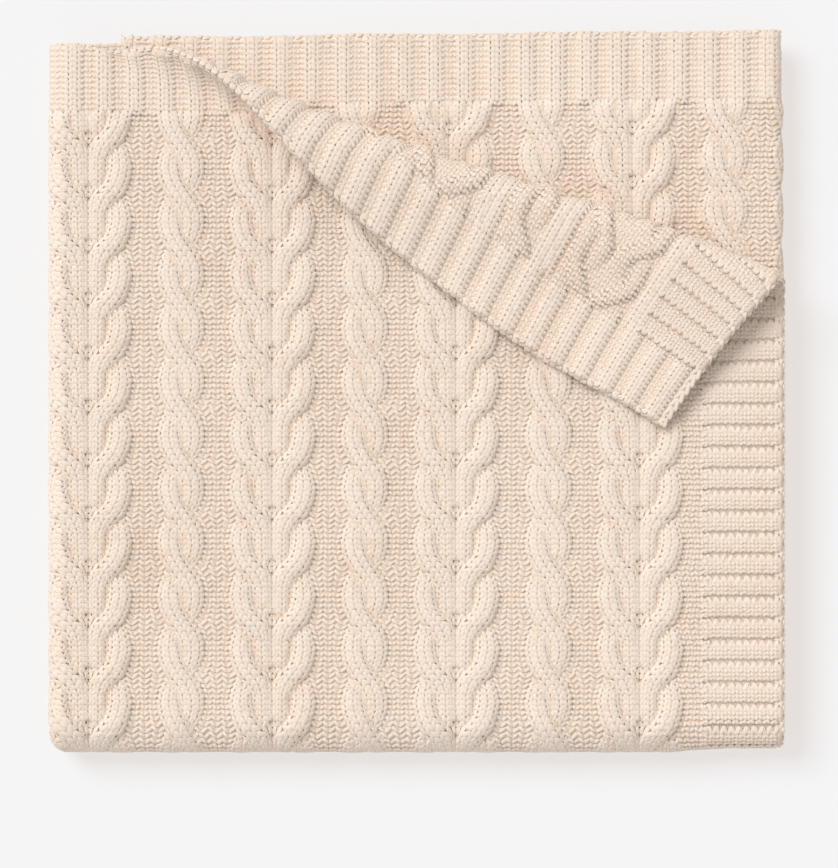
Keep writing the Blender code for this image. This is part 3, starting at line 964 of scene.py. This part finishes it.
def wrong_side_stitches(yarn, rows, first, last):
    """The turned corner's wrong side: purl behind the cables, and knit bands between them."""
    rows = rows[rows < V_FOLD]
    place, _ = columns(first, last)
    band = behind_cable(*chart(place)) > 0
    knit(yarn, *seen_grid(place[band], rows, back_seen), ground_back, scale=BAND_SCALE, side=-1)
    purl(yarn, *seen_grid(place[~band], rows, back_seen), STITCH, ground_back, side=-1)


def side_chain(yarn, at, inward, last):
    """The chain along a side edge: one link for every two rows."""
    v = np.arange(ROW, last, 2 * ROW)
    n = len(v)
    for side in (1, -1):
        for leg, place in CHAIN_LEGS:
            yarn.add(
                np.full(n, at + inward * place),
                v + stray(ROW_SPREAD, n),
                slope=(-inward * leg * CHAIN_SLOPE, 1.0),
                length=CHAIN_REACH,
                width=CHAIN_HALF,
                thick=YARN,
                lift=-CHAIN_LOW,
                ground=ground_plain,
                bend=-inward * leg * CHAIN_BEND,
                side=side,
            )
    yarn.add(
        np.full(n, at + inward * CHAIN_RIM_PLACE),
        v + ROW,
        slope=(0.0, 1.0),
        length=CHAIN_RIM_REACH,
        width=CHAIN_RIM_HALF,
        thick=CHAIN_RIM_HALF,
        lift=0.0,
        ground=ground_middle,
    )


def bound_edge(yarn, at, inward):
    """The chain along the cast-on or cast-off edge."""
    u = np.arange(0.5 * STITCH, WIDTH, STITCH)
    n = len(u)
    uneven = BOUND_WAVE * np.sin(u * BOUND_WAVES) + stray(BOUND_SPREAD, n)
    for side in (1, -1):
        for leg, place in BOUND_LEGS:
            yarn.add(
                u,
                at + inward * (place + uneven),
                slope=(1.0, -leg * inward * BOUND_SLOPE + stray(BOUND_SLOPE_SPREAD, n)),
                length=BOUND_REACH,
                width=BOUND_HALF,
                thick=YARN,
                lift=0.0,
                ground=ground_plain,
                side=side,
            )
    yarn.add(
        u,
        at + uneven - BOUND_RIM_PLACE * inward,
        slope=(1.0, 0.0),
        length=BOUND_RIM_REACH,
        width=BOUND_RIM_HALF,
        thick=BOUND_RIM_THICK,
        lift=0.0,
        ground=ground_middle,
    )


# The sheet under the stitches

def lines(*parts):
    """Places along one way of the cloth, from (first, last, spacing) parts."""
    found = []
    for first, last, spacing in parts:
        count = max(1, int(round((last - first) / spacing)))
        found.append(np.linspace(first, last, count + 1)[:-1])
    found.append([parts[-1][1]])
    return np.concatenate(found)


def lowest(relief, u, v):
    """The relief's lowest height close around each point, so that the sheet stays under the stitches."""
    nudges = ((0, 0), (LOWEST_ACROSS, 0), (-LOWEST_ACROSS, 0), (0, LOWEST_DOWN), (0, -LOWEST_DOWN))
    return np.min([relief(u + du, v + dv) for du, dv in nudges], axis=0)


def face_offset(u, v):
    """How far the sheet's right side lies from the middle of the cloth."""
    relief = lowest(face_relief, u, v)
    border = in_border(u)
    below_rib = v > RIB_END
    purled = relief < GAP_HEIGHT + PURL_MARGIN
    depth = np.where(~border & below_rib, np.where(purled, PURL_SINK, CABLE_SINK), SINK)
    groove = GROOVE * border * below_rib * (1 - welting(v))
    offset = HALF - depth + raised(u, v) * (evened(u, v, relief) - groove)
    under = (v > V_FOLD + SEEN_FRONT_TURN * np.pi * TOP_LAYER) & (u < U_LEFT)
    return np.where(under, HALF, offset)


def back_offset(u, v):
    """How far the sheet's wrong side lies from the middle of the cloth."""
    relief = lowest(back_relief, u, v)
    groove = GROOVE * in_border(u) * (v > RIB_END) * (1 - welting(v + BACK_WELT_SHIFT))
    return HALF + back_shown(u, v) * (relief - SINK - groove)


def base_sheet(material):
    """The cloth itself, one closed sheet with its relief just under the stitches."""
    fine_end = RIB_END + FINE_ROWS * ROW
    us = lines(
        (0, U_LEFT, FINE_ACROSS),
        (U_LEFT, U_LEFT_END, (U_LEFT_END - U_LEFT) / LEFT_FOLD_PARTS),
        (U_LEFT_END, U_RIGHT, HIDDEN_ACROSS),
        (U_RIGHT, U_RIGHT_END, (U_RIGHT_END - U_RIGHT) / RIGHT_FOLD_PARTS),
        (U_RIGHT_END, WIDTH, FAR_ACROSS),
    )
    vs = lines(
        (0, RIB_END, ROW),
        (RIB_END, fine_end, ROW),
        (fine_end, V_FOLD_END, (V_FOLD_END - V_FOLD) / FRONT_FOLD_PARTS),
        (V_FOLD_END, LENGTH, HIDDEN_DOWN),
    )
    nu, nv = len(us), len(vs)
    u, v = (places.ravel() for places in np.meshgrid(us, vs))
    points = np.concatenate([on_cloth(u, v, face_offset(u, v)), on_cloth(u, v, -back_offset(u, v))])
    total = nu * nv
    corner = (np.arange(nv - 1)[:, None] * nu + np.arange(nu - 1)[None]).ravel()
    right, down, cross = corner + 1, corner + nu, corner + nu + 1
    cells = [
        np.stack([corner, right, cross], 1),
        np.stack([corner, cross, down], 1),
        np.stack([corner, cross, right], 1) + total,
        np.stack([corner, down, cross], 1) + total,
    ]
    top = np.arange(nu)
    left = np.arange(nv) * nu
    far = left + nu - 1
    low = (nv - 1) * nu + top
    for rim in (top, far, low[::-1], left[::-1]):
        a, b = rim[:-1], rim[1:]
        cells.append(np.stack([b, a, a + total], 1))
        cells.append(np.stack([b, a + total, b + total], 1))
    return make_mesh("blanket_sheet", points, np.concatenate(cells), material)


# Materials

def noise(tree, scale):
    """A noise of the object's own coordinates."""
    place = tree.nodes.new("ShaderNodeTexCoord")
    node = tree.nodes.new("ShaderNodeTexNoise")
    node.inputs["Scale"].default_value = scale
    node.inputs["Detail"].default_value = NOISE_DETAIL
    tree.links.new(place.outputs["Object"], node.inputs["Vector"])
    return node.outputs["Fac"]


def stored(tree, label):
    """A value kept at the mesh's points."""
    node = tree.nodes.new("ShaderNodeAttribute")
    node.attribute_name = label
    return node.outputs["Fac"]


def scaled(tree, value, factor, added=None):
    """A value times a plain number, with another value added."""
    node = tree.nodes.new("ShaderNodeMath")
    node.operation = "MULTIPLY" if added is None else "MULTIPLY_ADD"
    tree.links.new(value, node.inputs[0])
    node.inputs[1].default_value = factor
    if added is not None:
        tree.links.new(added, node.inputs[2])
    return node.outputs[0]


def yarn_colour(tree, fibre, shade):
    """Cream that varies from bit to bit, in soft clouds and with the fibres, darker where painted shade lies
    in the cables' creases, and times the shade colour given.
    """
    toned_and_shaded = scaled(tree, stored(tree, "tone_and_painted_shade"), TONE_AND_SHADE_SHARE, noise(tree, CLOUD_SCALE))
    ramp = tree.nodes.new("ShaderNodeValToRGB")
    for element, place, colour in zip(ramp.color_ramp.elements, (DARK_AT, PALE_AT), (YARN_DARK, YARN_PALE)):
        element.position = place
        element.color = (*(a * b for a, b in zip(colour, shade)), 1)
    tree.links.new(scaled(tree, fibre, FIBRE_SHARE, toned_and_shaded), ramp.inputs["Fac"])
    return ramp.outputs["Color"]


def yarn_relief(tree, fibre):
    """Fine fibres and the twist of the ply along each bit."""
    sine = tree.nodes.new("ShaderNodeMath")
    sine.operation = "SINE"
    tree.links.new(scaled(tree, stored(tree, "ply"), 2 * np.pi), sine.inputs[0])
    bump = tree.nodes.new("ShaderNodeBump")
    bump.inputs["Strength"].default_value = BUMP_STRENGTH
    bump.inputs["Distance"].default_value = BUMP_DEPTH
    tree.links.new(scaled(tree, sine.outputs[0], PLY_SHARE, fibre), bump.inputs["Height"])
    return bump.outputs["Normal"]


def yarn_material(name, shade):
    """Matte cotton yarn with a soft sheen; the shade colour given paints the sheet between the stitches a
    little darker.
    """
    material = bpy.data.materials.new(name)
    material.use_nodes = True
    tree = material.node_tree
    shader = tree.nodes["Principled BSDF"]
    shader.inputs["Roughness"].default_value = ROUGHNESS
    shader.inputs["Specular IOR Level"].default_value = SPECULAR
    shader.inputs["Sheen Weight"].default_value = SHEEN
    shader.inputs["Sheen Roughness"].default_value = SHEEN_ROUGHNESS
    shader.inputs["Sheen Tint"].default_value = SHEEN_TINT
    fibre = noise(tree, FIBRE_SCALE)
    tree.links.new(yarn_colour(tree, fibre, shade), shader.inputs["Base Color"])
    tree.links.new(yarn_relief(tree, fibre), shader.inputs["Normal"])
    return material


# The pieces

def cable_pieces(material):
    """The cables' stitches, one piece for each group of cables."""
    pieces = []
    for group, numbers in enumerate(CABLE_GROUPS):
        yarn = Yarn()
        for number in numbers:
            cable_stitches(yarn, number, BODY_ROWS)
        pieces.append(yarn.build(f"cable_stitches_{group + 1}", material))
    return pieces


def purl_piece(material):
    """The stitches of the gaps between the cables."""
    yarn = Yarn()
    for number in GAPS_SHOWN:
        gap_stitches(yarn, number, BODY_ROWS)
    return yarn.build("purl_stitches", material)


def rib_piece(material):
    """The ribs' stitches on the right side."""
    yarn = Yarn()
    rib_stitches(yarn, SELVAGE, U_LEFT_END)
    rib_stitches(yarn, U_RIGHT, WIDTH - SELVAGE)
    return yarn.build("rib_stitches", material)


def border_piece(material):
    """The welts' stitches on the right side, and the chains along all four edges."""
    yarn = Yarn()
    welt_stitches(yarn, SELVAGE, BORDER)
    welt_stitches(yarn, WIDTH - BORDER, WIDTH - SELVAGE)
    side_chain(yarn, 0.0, 1, LENGTH - ROW)
    side_chain(yarn, WIDTH, -1, FAR_CHAIN_END)
    bound_edge(yarn, 0.0, 1)
    bound_edge(yarn, LENGTH, -1)
    return yarn.build("border_stitches", material)


def wrong_side_piece(material):
    """All the stitches of the turned corner's wrong side."""
    yarn = Yarn()
    wrong_side_stitches(yarn, BODY_ROWS, BORDER, U_LEFT)
    rib_stitches(yarn, SELVAGE, U_LEFT, side=-1)
    welt_stitches(yarn, SELVAGE, BORDER, side=-1)
    return yarn.build("wrong_side_stitches", material)


yarn_look = yarn_material("cream_cotton_yarn", YARN_SHADE)
# The sheet gets painted shade, a little darker than the yarn, for the holes between the stitches
sheet_piece = base_sheet(yarn_material("cream_cotton_ground_painted_shade", GROUND_SHADE))
pieces = cable_pieces(yarn_look)
for make in (purl_piece, rib_piece, border_piece, wrong_side_piece):
    pieces.append(make(yarn_look))
for piece in [sheet_piece, *pieces]:
    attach(piece, "root")
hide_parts("blanket")


# The studio

def add_floor():
    """A plain pale floor, lit a little from within so that it reads as white."""
    corners = [(x * FLOOR_HALF, y * FLOOR_HALF, 0) for x, y in ((-1, -1), (1, -1), (1, 1), (-1, 1))]
    mesh = bpy.data.meshes.new("floor")
    mesh.from_pydata(corners, [], [(0, 1, 2, 3)])
    floor = bpy.data.objects.new("floor", mesh)
    bpy.context.scene.collection.objects.link(floor)
    material = bpy.data.materials.new("floor_white")
    material.use_nodes = True
    shader = material.node_tree.nodes["Principled BSDF"]
    shader.inputs["Base Color"].default_value = FLOOR_COLOUR
    shader.inputs["Emission Color"].default_value = FLOOR_GLOW
    shader.inputs["Emission Strength"].default_value = FLOOR_GLOW_STRENGTH
    shader.inputs["Roughness"].default_value = 1.0
    shader.inputs["Specular IOR Level"].default_value = 0.0
    mesh.materials.append(material)


def add_sky():
    """Soft white light from all round."""
    world = bpy.data.worlds.new("soft_white")
    world.use_nodes = True
    background = world.node_tree.nodes["Background"]
    background.inputs["Color"].default_value = SKY_COLOUR
    background.inputs["Strength"].default_value = SKY_STRENGTH
    bpy.context.scene.world = world


def add_key():
    """A broad soft light from the upper left."""
    light = bpy.data.lights.new("key", "SUN")
    light.angle = KEY_ANGLE
    light.energy = KEY_ENERGY
    light.color = KEY_COLOUR
    key = bpy.data.objects.new("key", light)
    key.location = KEY_PLACE
    key.rotation_mode = "QUATERNION"
    key.rotation_quaternion = (-Vector(KEY_PLACE)).to_track_quat("-Z", "Y")
    bpy.context.scene.collection.objects.link(key)


def add_camera():
    """The photograph's camera, straight above."""
    data = bpy.data.cameras.new("camera")
    data.sensor_fit = "HORIZONTAL"
    data.sensor_width = SENSOR_WIDTH
    data.lens = CAMERA_LENS
    data.clip_end = CLIP_END
    camera = bpy.data.objects.new("camera", data)
    camera.location = CAMERA_PLACE
    bpy.context.scene.collection.objects.link(camera)
    bpy.context.scene.camera = camera
    bpy.context.scene.view_settings.view_transform = "Standard"


add_floor()
add_sky()
add_key()
add_camera()
